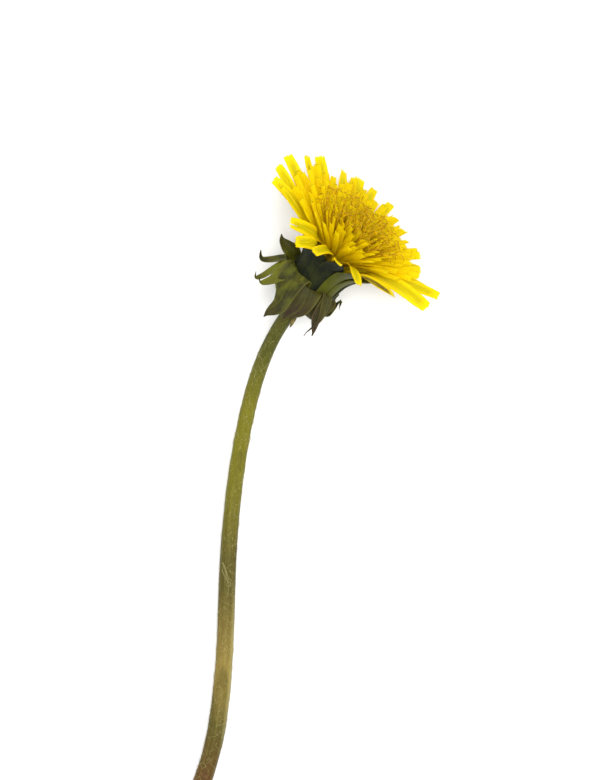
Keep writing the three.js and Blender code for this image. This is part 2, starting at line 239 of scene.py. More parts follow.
class Skin:
    """The points and faces of one piece in mm, with the marks that its finish reads.

    shape is (across from -1 to 1, along from 0 to 1, 1 on the back), and grain is a place on the
    unrolled surface in mm.
    """

    def __init__(self):
        self.points = []
        self.faces = []
        self.shape = []
        self.grain = []
        self.tint = []
        self.count = 0

    def add(self, points, faces, shape, grain, tint):
        """One closed shell."""
        self.points.append(points)
        self.faces += [[i + self.count for i in face] for face in faces]
        self.shape.append(shape)
        self.grain.append(grain)
        self.tint.append(np.full(len(points), tint))
        self.count += len(points)

    def blade(self, path, reference, half, curl, twist=0, across=9, ends=None, rows=24,
              thickness=0.16, tint=0.5, ripple=0, ripples=3, keel=0):
        """A thin leaf-like shell along a path in the head.

        reference is the direction of its width, and half, curl and twist run along it: half its
        width, half the angle that its section bends through, and its turn about its own length.
        ends says how far along the path each column reaches.
        """
        stations = np.linspace(0, 1, len(path))
        along = unit(np.gradient(path, axis=0))
        side = unit(reference - (reference * along).sum(1, keepdims=True) * along)
        face = np.cross(along, side)
        twist = np.broadcast_to(twist, len(path))[:, None]
        side, face = (
            side * np.cos(twist) + face * np.sin(twist),
            face * np.cos(twist) - side * np.sin(twist),
        )
        x = np.linspace(-1, 1, across) if np.isscalar(across) else np.asarray(across, float)
        ends = np.ones(len(x)) if ends is None else ends
        row_places = np.linspace(0, 1, rows) if np.isscalar(rows) else rows
        v = row_places[:, None] * ends[None, :]

        def at(values):
            return np.stack([np.interp(v, stations, column) for column in values.T], axis=-1)

        middle, sides, faces_up = at(path), at(side), at(face)
        a = np.interp(v, stations, np.broadcast_to(half, len(path)))[..., None]
        bend = np.interp(v, stations, np.broadcast_to(curl, len(path)))[..., None]
        bend = np.where(np.abs(bend) < 0.02, 0.02, bend)
        angle = x[None, :, None] * bend
        middle = middle + sides * (a / bend) * np.sin(angle)
        middle = middle + faces_up * (a / bend) * (1 - np.cos(angle))
        normal = faces_up * np.cos(angle) - sides * np.sin(angle)
        if ripple or keel:
            wave = ripple * np.sin(2 * np.pi * (ripples * v + 2.7 * tint)) * x[None, :] ** 3
            fold = -keel * np.exp(-((x[None, :] / 0.22) ** 2)) * (a[..., 0] / a.max())
            middle = middle + normal * (wave + fold)[..., None]
        thick = thickness * (1 - 0.55 * np.abs(x) ** 4)[None, :, None] / 2
        thick = thick * np.clip(a / (3 * thickness), 0.15, 1)
        rows_made, columns = v.shape
        grid = np.arange(rows_made * columns).reshape(rows_made, columns)
        quads = np.stack([grid[:-1, :-1], grid[1:, :-1], grid[1:, 1:], grid[:-1, 1:]], -1)
        rim = np.concatenate(
            [grid[0, :-1], grid[:-1, -1], grid[-1, :0:-1], grid[:0:-1, 0]]
        )
        after = np.roll(rim, -1)
        offset = rows_made * columns
        walls = np.stack([rim, after, after + offset, rim + offset], -1)
        faces = [
            *quads.reshape(-1, 4).tolist(),
            *(quads[..., ::-1] + offset).reshape(-1, 4).tolist(),
            *walls.tolist(),
        ]
        points = np.concatenate([middle + normal * thick, middle - normal * thick])
        shape = triples(x, v, 0)
        grain = triples(x * a[..., 0], v * length_of(path), 37 * tint)
        back = shape + [0, 0, 1]
        self.add(
            from_head(points.reshape(-1, 3)),
            faces,
            np.concatenate([shape, back]),
            np.concatenate([grain, grain + [0, 0, 5]]),
            tint,
        )

    def tube(self, path, radii, sides=8, tint=0.5, in_head=True):
        """A closed round shell along a path."""
        count = len(path)
        radii = np.broadcast_to(radii, count)
        along = unit(np.gradient(path, axis=0))
        side = np.zeros_like(path)
        start = np.eye(3)[np.argmin(np.abs(along[0]))]
        for i in range(count):
            start = unit(start - start.dot(along[i]) * along[i])
            side[i] = start
        other = np.cross(along, side)
        angles = np.linspace(0, 2 * np.pi, sides, endpoint=False)
        ring = side[:, None] * np.cos(angles)[None, :, None]
        ring = ring + other[:, None] * np.sin(angles)[None, :, None]
        points = path[:, None] + ring * radii[:, None, None]
        grid = np.arange(count * sides).reshape(count, sides)
        turned_grid = np.roll(grid, -1, axis=1)
        quads = np.stack(
            [grid[:-1], turned_grid[:-1], turned_grid[1:], grid[1:]], -1
        ).reshape(-1, 4)
        faces = [*quads.tolist(), grid[0, ::-1].tolist(), grid[-1].tolist()]
        share, girth = np.linspace(0, 1, count)[:, None], radii[:, None]
        shape = triples(angles / np.pi - 1, share, 0)
        grain = triples(
            np.cos(angles) * girth, np.sin(angles) * girth, share * length_of(path) + 53 * tint
        )
        points = points.reshape(-1, 3)
        self.add(from_head(points) if in_head else points, faces, shape, grain, tint)

    def piece(self, name, finish, nodes, slot, sharp=50):
        """Makes the object from the skin. It rides with the flower."""
        mesh = bpy.data.meshes.new(name)
        mesh.from_pydata((np.concatenate(self.points) * MM).tolist(), [], self.faces)
        for mark, kind, values in (
            ("shape", "FLOAT_VECTOR", self.shape),
            ("grain", "FLOAT_VECTOR", self.grain),
            ("tint", "FLOAT", self.tint),
        ):
            attribute = mesh.attributes.new(mark, kind, "POINT")
            field = "vector" if kind == "FLOAT_VECTOR" else "value"
            attribute.data.foreach_set(field, np.concatenate(values).ravel())
        mesh.polygons.foreach_set("use_smooth", [True] * len(mesh.polygons))
        mesh.set_sharp_from_angle(angle=math.radians(sharp))
        mesh.materials.append(finish)
        mesh.validate()
        made = bpy.data.objects.new(name, mesh)
        bpy.context.scene.collection.objects.link(made)
        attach(made, "root")
        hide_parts(*nodes)


# ---- Finishes ----


class Value:
    """An output of a node. Arithmetic on it adds Math nodes."""

    def __init__(self, finish, socket):
        self.finish = finish
        self.socket = socket

    def _maths(self, operation, first, second):
        return self.finish.node("ShaderNodeMath", {"operation": operation}, {0: first, 1: second})

    def __add__(self, other):
        return self._maths("ADD", self, other)

    def __radd__(self, other):
        return self._maths("ADD", other, self)

    def __sub__(self, other):
        return self._maths("SUBTRACT", self, other)

    def __rsub__(self, other):
        return self._maths("SUBTRACT", other, self)

    def __mul__(self, other):
        return self._maths("MULTIPLY", self, other)

    def __rmul__(self, other):
        return self._maths("MULTIPLY", other, self)

    def __pow__(self, other):
        return self._maths("POWER", self, other)

    def __abs__(self):
        return self.finish.node("ShaderNodeMath", {"operation": "ABSOLUTE"}, {0: self})

    def above(self, low, high):
        """0 below low, 1 above high, and an even S between them."""
        return self.finish.node(
            "ShaderNodeMapRange",
            {"interpolation_type": "SMOOTHSTEP"},
            {"Value": self, "From Min": low, "From Max": high},
        )

    def wave(self, cycles):
        """A cosine of this value."""
        return self.finish.node(
            "ShaderNodeMath", {"operation": "COSINE"}, {0: self * (2 * math.pi * cycles)}
        )


class Finish:
    """A material being made."""

    def __init__(self, name):
        self.material = bpy.data.materials.new(name)
        self.material.use_nodes = True
        self.tree = self.material.node_tree
        self.tree.nodes.clear()

    def node(self, kind, settings=None, sockets=None, output=0):
        """A new node of that kind: its settings first, then its sockets' values or links."""
        node = self.tree.nodes.new(kind)
        for setting, value in (settings or {}).items():
            if setting == "stops":
                while len(node.color_ramp.elements) < len(value):
                    node.color_ramp.elements.new(1)
                for element, (place, colour) in zip(node.color_ramp.elements, value):
                    element.position = place
                    element.color = (*colour, 1)
            else:
                setattr(node, setting, value)
        for socket, value in (sockets or {}).items():
            if isinstance(value, Value):
                self.tree.links.new(value.socket, node.inputs[socket])
            elif node.inputs[socket].type == "RGBA":
                node.inputs[socket].default_value = (*value, 1)
            else:
                node.inputs[socket].default_value = value
        return Value(self, node.outputs[output])

    def mark(self, name):
        """One of the marks that a skin carries."""
        output = "Fac" if name == "tint" else "Vector"
        return self.node("ShaderNodeAttribute", {"attribute_name": name}, output=output)

    def parts(self, vector):
        """The three parts of a vector."""
        split = self.node("ShaderNodeSeparateXYZ", sockets={0: vector}).socket.node
        return [Value(self, output) for output in split.outputs]

    def noise(self, vector, stretch, detail=2.0, roughness=0.5, distortion=0.0):
        """Noise of about 0 to 1 with a grain of so many to the mm in each direction."""
        stretched = self.node(
            "ShaderNodeVectorMath", {"operation": "MULTIPLY"}, {0: vector, 1: stretch}
        )
        return self.node(
            "ShaderNodeTexNoise",
            {"noise_dimensions": "3D"},
            {"Vector": stretched, "Scale": 1.0, "Detail": detail, "Roughness": roughness,
             "Distortion": distortion},
        )

    def mix(self, share, first, second):
        """From the first colour to the second by share."""
        return self.node(
            "ShaderNodeMix",
            {"data_type": "RGBA", "blend_type": "MIX", "clamp_factor": True},
            {0: share, 6: first, 7: second},
            output=2,
        )

    def bump(self, height, depth):
        """A normal from a height of 0 to 1 and its depth in mm."""
        return self.node(
            "ShaderNodeBump", {}, {"Height": height, "Distance": depth * MM, "Strength": 1.0}
        )

    def close(self, colour, roughness, normal, gloss=0.3, glow=0.0):
        """Ends the material: light that comes through is shared out by glow."""
        skin = self.node(
            "ShaderNodeBsdfPrincipled",
            {},
            {"Base Color": colour, "Roughness": roughness, "Normal": normal,
             "Specular IOR Level": gloss},
        )
        if glow:
            through = self.node(
                "ShaderNodeBsdfTranslucent", {}, {"Color": colour, "Normal": normal}
            )
            skin = self.node("ShaderNodeMixShader", {}, {0: glow, 1: skin, 2: through})
        output = self.tree.nodes.new("ShaderNodeOutputMaterial")
        self.tree.links.new(skin.socket, output.inputs["Surface"])
        return self.material


def paint(red, green, blue):
    """A colour given as 0 to 255, as the light it stands for."""
    return tuple(
        c / 12.92 if c <= 0.04045 else ((c + 0.055) / 1.055) ** 2.4
        for c in (red / 255, green / 255, blue / 255)
    )


def strap_finish(settings, name, age):
    """Petal skin: silky ribbed yellow, golden towards the tube, with a striped back outside, and
    painted shade that darkens its grooves and edges.

    age is 1 for the outermost straps, whose backs are striped, and 0 for the youngest.
    """
    finish = Finish(name)
    across, along, back = finish.parts(finish.mark("shape"))
    grain = finish.mark("grain")
    tint = finish.mark("tint")
    streaks = finish.noise(grain, (2.6, 0.12, 1), 3, 0.6)
    cloud = finish.noise(grain, (0.35, 0.16, 1), 2)
    ribs = abs(across.wave(1.25)) ** 0.6
    colour = finish.mix(along.above(0.42, 0.8), settings.deep_yellow, settings.bright_yellow)
    colour = finish.mix(cloud.above(0.48, 0.68) * 0.35, colour, settings.deep_yellow)
    colour = finish.mix(streaks.above(0.5, 0.75) * 0.3, colour, settings.pale_yellow)
    # Painted shade: the colour darkens towards the groove yellow in the grooves between the ribs
    # and along the strap's edges, more on the outer straps.
    edge = abs(across).above(0.76, 0.98) * 0.45
    groove_shade = (1 - ribs).above(0.4, 1.0) * 0.45 + edge
    colour = finish.mix(groove_shade * (0.6 + 0.4 * age), colour, settings.groove_shade_yellow)
    colour = finish.mix(tint.above(0.0, 1.0) * 0.16, colour, settings.deep_yellow)
    tip = along.above(0.983, 1.0) * (tint.above(0.35, 0.8) * 0.7)
    colour = finish.mix(tip * streaks.above(0.35, 0.55), colour, settings.tooth_colour)
    if age:
        colour = finish.mix(back * 0.35, colour, settings.deep_yellow)
        stripe = 1 - abs(across).above(0.3, 0.75)
        stripe = stripe * back * along.above(0.3, 0.5) * (1 - along.above(0.9, 0.99))
        stripe = stripe * streaks.above(0.3, 0.5)
        colour = finish.mix(stripe * (0.85 * age), colour, settings.stripe_colour)
    relief = finish.bump(ribs * 0.7 + streaks * 0.5, 0.09)
    roughness = 0.42 + 0.25 * streaks
    return finish.close(colour, roughness, relief, gloss=0.15, glow=0.7 - 0.12 * age)


def bract_finish(settings, name, base, tip_colour, green):
    """Bract skin: fleshy, finely ribbed, darkening to its tip, with a pale thin margin."""
    finish = Finish(name)
    across, along = finish.parts(finish.mark("shape"))[:2]
    grain = finish.mark("grain")
    tint = finish.mark("tint")
    ribs = finish.noise(grain, (3.2, 0.1, 1), 3, 0.6)
    blotches = finish.noise(grain, (0.5, 0.35, 1), 4, 0.6)
    colour = finish.mix(blotches.above(0.34, 0.72) * green, base, settings.leaf_green)
    colour = finish.mix((1 - tint.above(0.0, 0.45)) * 0.9, colour, settings.leaf_green)
    brown = along.above(0.5, 0.98) * 0.7 + tint.above(0.45, 1.0) * 0.75
    colour = finish.mix(brown * blotches.above(0.3, 0.6), colour, tip_colour)
    colour = finish.mix(ribs.above(0.45, 0.8) * (0.45 * green), colour, settings.leaf_green)
    edge = abs(across).above(0.84, 0.98) * (1 - along.above(0.75, 0.95))
    colour = finish.mix(edge * (0.7 * green), colour, settings.margin_colour)
    relief = finish.bump(ribs * 0.8 + blotches * 0.4, 0.12)
    roughness = 0.45 + 0.25 * blotches
    return finish.close(colour, roughness, relief, gloss=0.18, glow=0.1)


def stem_finish(settings):
    """Stem skin: green under the head, straw-coloured lower down and brown at the cut, with a
    painted highlight down its right side.
    """
    finish = Finish("hollow_stem_skin")
    across, along, back = finish.parts(finish.mark("shape"))
    grain = finish.mark("grain")
    ribs = finish.noise(grain, (2.4, 2.4, 0.05), 3, 0.6)
    blotches = finish.noise(grain, (0.35, 0.35, 0.09), 4, 0.62)
    specks = finish.noise(grain, (4.5, 4.5, 1.5), 3, 0.7, 1.2)
    place = along + (blotches - 0.5) * 0.08
    colour = finish.node(
        "ShaderNodeValToRGB",
        {
            "stops": [
                (0.0, settings.top_colour),
                (0.1, settings.top_colour),
                (0.22, settings.middle_colour),
                (0.33, settings.middle_colour),
                (0.5, settings.waist_colour),
                (0.56, settings.waist_colour),
                (0.7, settings.lower_colour),
                (0.82, settings.waist_colour),
                (0.97, settings.cut_colour),
            ]
        },
        {0: place},
    )
    colour = finish.mix(ribs.above(0.5, 0.72) * 0.28, colour, settings.rib_colour)
    colour = finish.mix(specks.above(0.55, 0.68) * 0.38, colour, settings.speck_and_highlight_colour)
    colour = finish.mix((1 - specks).above(0.52, 0.7) * 0.5, colour, settings.top_colour)
    colour = finish.mix(blotches.above(0.5, 0.66) * 0.5, colour, settings.waist_colour)
    # Painted highlight: a pale band down the stem's right side, the side towards the key light,
    # from about half to four fifths of the way down.
    painted_highlight = 1 - abs(across + 0.14).above(0.03, 0.2)
    painted_highlight = painted_highlight * along.above(0.5, 0.66) * (1 - along.above(0.76, 0.88))
    colour = finish.mix(painted_highlight * 0.35, colour, settings.speck_and_highlight_colour)
    colour = finish.mix(back * 0.8, colour, settings.pith_colour)
    relief = finish.bump(ribs * 0.8 + specks * 0.35 + blotches * 0.3, 0.16)
    roughness = 0.42 + 0.3 * blotches
    return finish.close(colour, roughness, relief, gloss=0.18)


def hair_finish(settings):
    """Fine pale hairs of the stem."""
    finish = Finish("cobweb_hair")
    grain = finish.mark("grain")
    tint = finish.mark("tint")
    colour = finish.mix(tint, settings.speck_and_highlight_colour, settings.pith_colour)
    fuzz = finish.noise(grain, (6, 6, 6), 2)
    return finish.close(colour, 0.5 + 0.3 * fuzz, finish.bump(fuzz, 0.02), gloss=0.3, glow=0.3)


def style_finish(settings):
    """Anthers and stigmas: dull gold, rough with pollen."""
    finish = Finish("pollen_gold")
    along = finish.parts(finish.mark("shape"))[1]
    grain = finish.mark("grain")
    dust = finish.noise(grain, (9, 9, 9), 2, 0.7)
    colour = finish.mix(along.above(0.1, 0.6), settings.anther_colour, settings.stigma_colour)
    colour = finish.mix(dust.above(0.52, 0.7) * 0.7, colour, settings.pollen_colour)
    relief = finish.bump(dust, 0.08)
    return finish.close(colour, 0.6 + 0.3 * dust, relief, gloss=0.15, glow=0.3)


def flesh_finish(settings):
    """The flat heart of the head, pale and pitted."""
    finish = Finish("pale_flesh")
    grain = finish.mark("grain")
    pits = finish.noise(grain, (1.8, 1.8, 1.8), 3, 0.6)
    colour = finish.mix(pits.above(0.4, 0.65), settings.flesh_colour, settings.leaf_green)
    return finish.close(colour, 0.5 + 0.3 * pits, finish.bump(pits, 0.2), gloss=0.3, glow=0.1)


# ---- What a user would change ----


def colour_property(name, description, red, green, blue):
    return bpy.props.FloatVectorProperty(
        name=name,
        description=description,
        subtype="COLOR",
        size=3,
        min=0,
        max=1,
        default=paint(red, green, blue),
    )


def length_property(name, description, millimetres):
    return bpy.props.FloatProperty(
        name=name,
        description=description,
        unit="LENGTH",
        min=0,
        default=millimetres * MM,
    )


def power_property(name, description, watts):
    return bpy.props.FloatProperty(
        name=name, description=description, unit="POWER", default=watts
    )


class DandelionFlorets(bpy.types.PropertyGroup):
    """Sizes and colours of the florets."""

    strap_width: length_property("Strap width", "Width of a petal strap, laid flat", 2.3)
    strap_thickness: length_property("Strap thickness", "Thickness of a petal strap", 0.16)
    style_radius: length_property("Style radius", "Radius of a style's thread", 0.115)
    bright_yellow: colour_property("Bright yellow", "Outer part of a strap", 249, 236, 14)
    deep_yellow: colour_property("Deep yellow", "Strap near its tube", 250, 232, 8)
    # Painted shade: the darker yellow put in a strap's grooves and along its edges.
    groove_shade_yellow: colour_property("Grooves", "Grooves and edges of a strap", 238, 200, 4)
    pale_yellow: colour_property("Pale yellow", "Silky streaks", 255, 240, 80)
    tooth_colour: colour_property("Tooth colour", "Dried points of the teeth", 120, 112, 20)
    stripe_colour: colour_property("Stripe colour", "Stripe on the outer straps' backs", 80, 52, 42)
    anther_colour: colour_property("Anther colour", "Tube of anthers round a style", 244, 204, 14)
    stigma_colour: colour_property("Stigma colour", "Curled arms of a style", 194, 156, 6)
    pollen_colour: colour_property("Pollen colour", "Dust on the styles", 248, 214, 40)


class DandelionBracts(bpy.types.PropertyGroup):
    """Sizes and colours of the bracts and of the flesh they stand on."""

    width: length_property("Bract width", "Width of a folded outer bract", 4.2)
    thickness: length_property("Bract thickness", "Thickness of a bract", 0.38)
    # Painted shade: the inner bracts' own dark green is made near black by the shade that falls on
    # the cup under the head.
    shaded_cup_colour: colour_property("Cup colour", "Inner bracts of the cup", 24, 30, 25)
    fold_colour: colour_property("Fold colour", "Folded outer bracts", 46, 45, 13)
    tip_colour: colour_property("Tip colour", "Dark tips and bruises", 54, 40, 28)
    leaf_green: colour_property("Leaf green", "Fresh patches", 110, 114, 20)
    margin_colour: colour_property("Margin colour", "Pale thin edges", 112, 106, 48)
    flesh_colour: colour_property("Flesh colour", "Heart of the head", 170, 176, 110)


class DandelionStem(bpy.types.PropertyGroup):
    """Colours of the stem."""

    top_colour: colour_property("Top colour", "Under the head", 69, 70, 13)
    middle_colour: colour_property("Middle colour", "Upper part of the stem", 107, 103, 12)
    waist_colour: colour_property("Waist colour", "Darker stretches lower down", 77, 68, 16)
    lower_colour: colour_property("Lower colour", "Pale scuffed stretch", 130, 110, 50)
    cut_colour: colour_property("Cut colour", "Near the cut end", 82, 27, 4)
    rib_colour: colour_property("Rib colour", "Fine light ribs", 134, 128, 44)
    # Pale specks, scuffs and hairs, and also the colour of the painted highlight down the stem's
    # right side.
    speck_and_highlight_colour: colour_property("Speck colour", "Pale specks and scuffs", 182, 172, 110)
    pith_colour: colour_property("Pith colour", "Inside of the hollow stem", 182, 180, 120)


class DandelionStage(bpy.types.PropertyGroup):
    """Table, lights and camera."""

    floor_colour: colour_property("Floor colour", "Plain table top", 246, 246, 245)
    top_power: power_property("Top power", "Large soft light overhead", 38)
    key_power: power_property("Key power", "Large soft light from the right", 3.5)
    fill_power: power_property("Fill power", "Large soft light from the left", 2.5)
    sky_strength: bpy.props.FloatProperty(
        name="Sky strength", description="Even light from all round", default=0.76
    )
    camera_height: length_property("Camera height", "Camera above the table", 1600)
    view_height: length_property("View height", "Length of table that the view takes in", 171.6)


# ---- Stem ----


def stem_route(steps):
    """The stem's centre line and directions from the head to the cut end."""
    middles = (np.arange(steps + 1) + 0.5) / steps
    heading = np.radians(spline(STEM_HEADINGS, middles))
    drop = JOINT[2] - STEM_TOP_RADIUS
    sloping = drop * HEAD_LIFT / (1 - math.cos(HEAD_LIFT))
    slope = HEAD_LIFT * np.maximum(0, 1 - middles * STEM_LENGTH / sloping)
    along = np.stack(
        [-np.sin(heading) * np.cos(slope), -np.cos(heading) * np.cos(slope), -np.sin(slope)], 1
    )
    ways = np.vstack([np.zeros(3), np.cumsum(along[:-1] * (STEM_LENGTH / steps), axis=0)])
    return JOINT + ways, along


class DANDELION_OT_stem(bpy.types.Operator):
    """Builds the hollow stem, with its open cut end"""

    bl_idname = "dandelion.stem"
    bl_label = "Stem"

    def execute(self, context):
        steps, sides = 260, 40
        route, along = stem_route(steps)
        share = np.arange(steps + 1) / steps
        radius = STEM_TOP_RADIUS + (STEM_END_RADIUS - STEM_TOP_RADIUS) * share
        route[:, 2] += radius - STEM_TOP_RADIUS
        route[0] += along[0] * GAP
        side = unit(np.stack([along[:, 1], -along[:, 0], np.zeros(steps + 1)], 1))
        top = np.cross(side, along)
        angles = np.linspace(0, 2 * np.pi, sides, endpoint=False)
        rng = np.random.default_rng(4)
        # Shallow ribs that wander round the stem, and slight swellings along it.
        wander = spline(rng.normal(0, 0.5, 9), share)
        swell = 1.03 + 0.03 * share - 0.02 * np.abs(spline(rng.normal(0, 1, 24), share))
        ribs = 1 - 0.012 * (1 + np.cos(9 * angles[None, :] + 3 * wander[:, None]))
        flat = 1 - 0.015 * (1 + np.cos(2 * (angles[None, :] + wander[:, None])))
        outer = radius[:, None] * swell[:, None] * ribs * flat
        torn = 0.25 * np.cos(3 * angles) + 0.16 * np.cos(7 * angles + 1)
        inner = np.broadcast_to(radius[:, None] - STEM_WALL, outer.shape)

        def rings(radii):
            centre = route[:, None] + 0 * angles[None, :, None]
            around = side[:, None] * np.cos(angles)[None, :, None]
            around = around + top[:, None] * np.sin(angles)[None, :, None]
            points = centre + around * radii[..., None]
            shift = smooth(share, 0.985, 1)[:, None] * torn[None, :]
            return points - along[:, None] * np.maximum(shift, 0)[..., None]

        count = (steps + 1) * sides
        grid = np.arange(count).reshape(steps + 1, sides)
        onward = np.roll(grid, -1, axis=1)
        skin_quads = np.stack([grid[:-1], grid[1:], onward[1:], onward[:-1]], -1).reshape(-1, 4)
        bore_quads = skin_quads[:, ::-1] + count
        start = np.stack([grid[0], onward[0], onward[0] + count, grid[0] + count], -1)
        cut = np.stack([grid[-1], grid[-1] + count, onward[-1] + count, onward[-1]], -1)
        faces = np.concatenate([skin_quads, bore_quads, start, cut]).tolist()
        points = np.concatenate([rings(outer).reshape(-1, 3), rings(inner).reshape(-1, 3)])
        shape = triples(angles / np.pi - 1, share[:, None], 0)
        girth = radius[:, None]
        grain = triples(
            np.cos(angles) * girth, np.sin(angles) * girth, share[:, None] * STEM_LENGTH
        )
        skin = Skin()
        skin.add(
            points,
            faces,
            np.concatenate([shape, shape + [0, 0, 1]]),
            np.concatenate([grain, grain]),
            0.5,
        )
        # A strip of skin that has peeled off under the head.
        shares = np.linspace(0, 1, 16)
        peeled = spline([(1.5, -0.4), (1.75, -1.6), (2.3, -3.2), (2.5, -4.8)], shares)
        turn = math.radians(318)
        skin.blade(
            turned(peeled, turn + 0.25 * shares),
            sideways(turn, 16),
            spline([0.5, 0.7, 0.75, 0.5, 0.12], shares),
            curl=-0.5,
            across=7,
            rows=14,
            thickness=0.14,
        )
        finish = stem_finish(context.scene.dandelion_stem)
        skin.piece("hollow_stem", finish, ["scape"], "stem_skin", sharp=60)
        return {"FINISHED"}


class DANDELION_OT_stem_hairs(bpy.types.Operator):
    """Builds the sparse fine hairs that lie on the stem, and the few long ones at its scratch"""

    bl_idname = "dandelion.stem_hairs"
    bl_label = "Stem hairs"

    def execute(self, context):
        rng = np.random.default_rng(8)
        steps = 240
        route, along = stem_route(steps)
        skin = Skin()
        for i in range(STEM_HAIRS):
            scratch = i < SCRATCH_HAIRS
            share = rng.normal(SCRATCH_PLACE, 0.004) if scratch else rng.uniform(0.06, 0.97)
            turn = rng.normal(0.95, 0.08) if scratch else rng.uniform(0, 2 * math.pi)
            reach = rng.uniform(3, 7) if scratch else rng.uniform(0.5, 1.9)
            drift = rng.normal(1.1, 0.12) if scratch else rng.normal(0, 0.35)
            t = np.linspace(0, 1, 7)
            places = np.clip(share + t * reach / STEM_LENGTH, 0, 1)
            turns = turn + drift * t + 0.2 * np.sin(5 * t + i)
            at = [np.interp(places * steps, np.arange(steps + 1), c) for c in route.T]
            way = [np.interp(places * steps, np.arange(steps + 1), c) for c in along.T]
            centre, ahead = np.stack(at, 1), np.stack(way, 1)
            radius = STEM_TOP_RADIUS + (STEM_END_RADIUS - STEM_TOP_RADIUS) * places
            centre[:, 2] += radius - STEM_TOP_RADIUS
            side = unit(np.stack([ahead[:, 1], -ahead[:, 0], np.zeros(7)], 1))
            out = side * np.cos(turns)[:, None] + np.cross(side, ahead) * np.sin(turns)[:, None]
            lift = 0.04 + rng.uniform(0, 0.16) * np.sin(np.pi * t)
            hair = centre + out * (radius * 1.01 + lift)[:, None]
            hair[:, 2] = np.maximum(hair[:, 2], 0.1)
            girth = rng.uniform(0.022, 0.04) * (1 - 0.6 * t)
            skin.tube(hair, girth, 5, rng.random(), in_head=False)
        finish = hair_finish(context.scene.dandelion_stem)
        skin.piece("stem_hairs", finish, ["scape"], "stem_skin")
        return {"FINISHED"}


# ---- Receptacle and bracts ----


class DANDELION_OT_receptacle(bpy.types.Operator):
    """Builds the fleshy receptacle that the florets stand on"""

    bl_idname = "dandelion.receptacle"
    bl_label = "Receptacle"

    def execute(self, context):
        outline = np.array(
            [
                (0.01, 0),
                (STEM_TOP_RADIUS, 0),
                (0.56 * RECEPTACLE_RADIUS, 0.11 * RECEPTACLE_HEIGHT),
                (0.92 * RECEPTACLE_RADIUS, 0.41 * RECEPTACLE_HEIGHT),
                (RECEPTACLE_RADIUS, 0.59 * RECEPTACLE_HEIGHT),
                (0.97 * RECEPTACLE_RADIUS, 0.73 * RECEPTACLE_HEIGHT),
                (0.62 * RECEPTACLE_RADIUS, 0.9 * RECEPTACLE_HEIGHT),
                (0.01, RECEPTACLE_HEIGHT),
            ]
        )
        profile = spline(outline, np.linspace(0, 1, 40))
        path = np.stack([np.zeros(40), np.zeros(40), np.linspace(0, RECEPTACLE_HEIGHT, 40)], 1)
        skin = Skin()
        skin.tube(path, np.maximum(profile[:, 0], 0.02), sides=48)
        points = skin.points[0].reshape(40, 48, 3)
        heights = np.broadcast_to(profile[:, 1, None] - path[:, 2, None], (40, 48))
        skin.points[0] = (points + heights[..., None] * HEAD[:, 2]).reshape(-1, 3)
        finish = flesh_finish(context.scene.dandelion_bracts)
        skin.piece("fleshy_receptacle", finish, ["receptacle"], "flesh")
        return {"FINISHED"}


class DANDELION_OT_inner_bracts(bpy.types.Operator):
    """Builds the dark bracts of the cup, each lapping over the next, their dark green darkened
    further by painted shade
    """

    bl_idname = "dandelion.inner_bracts"
    bl_label = "Inner bracts"

    def execute(self, context):
        settings = context.scene.dandelion_bracts
        # The cup's colour carries painted shade as well as the bracts' own dark green.
        finish = bract_finish(
            settings, "dark_shaded_cup_bract", settings.shaded_cup_colour, settings.shaded_cup_colour, 0.15
        )
        rng = np.random.default_rng(11)
        shares = np.linspace(0, 1, 50)
        widths = spline([1.5, 1.75, 1.8, 1.85, 2.0, 2.2, 2.4, 2.25, 1.5, 0.1], shares)
        for i in range(BRACTS):
            turn = 2 * math.pi * i / BRACTS
            wall = inside_wall(np.linspace(0, 1, 43), rng.normal(0, 0.05))
            near = max(0, math.cos(turn - math.radians(300)))
            lip = (rng.uniform(2.2, 3.0) + 1.7 * near) * np.linspace(0, 1, 10)[1:, None]
            lift = np.array([-0.01, 0.035]) * near
            wall = np.vstack([wall, wall[-1] + CUP_WALL_ALONG[-1] * lip + lift * lip**2])
            wall = evenly(wall, 50)
            path = turned(wall, turn + 0.05 * rng.normal() * smooth(shares, 0.4, 1))
            reference = sideways(turn, 50)
            skin = Skin()
            skin.blade(
                path,
                reference,
                widths,
                curl=widths / np.maximum(wall[:, 0], 3) + 0.1,
                twist=math.radians(9),
                across=13,
                rows=30,
                thickness=settings.thickness / MM,
                tint=0.2 if i in (11, 12) else rng.uniform(0.42, 0.55),
                ripple=0.08,
            )
            number = f"{i + 1:02d}"
            skin.piece(f"cup_bract_{number}", finish, [f"inner_bract_{number}"], "inner_bract")
        return {"FINISHED"}


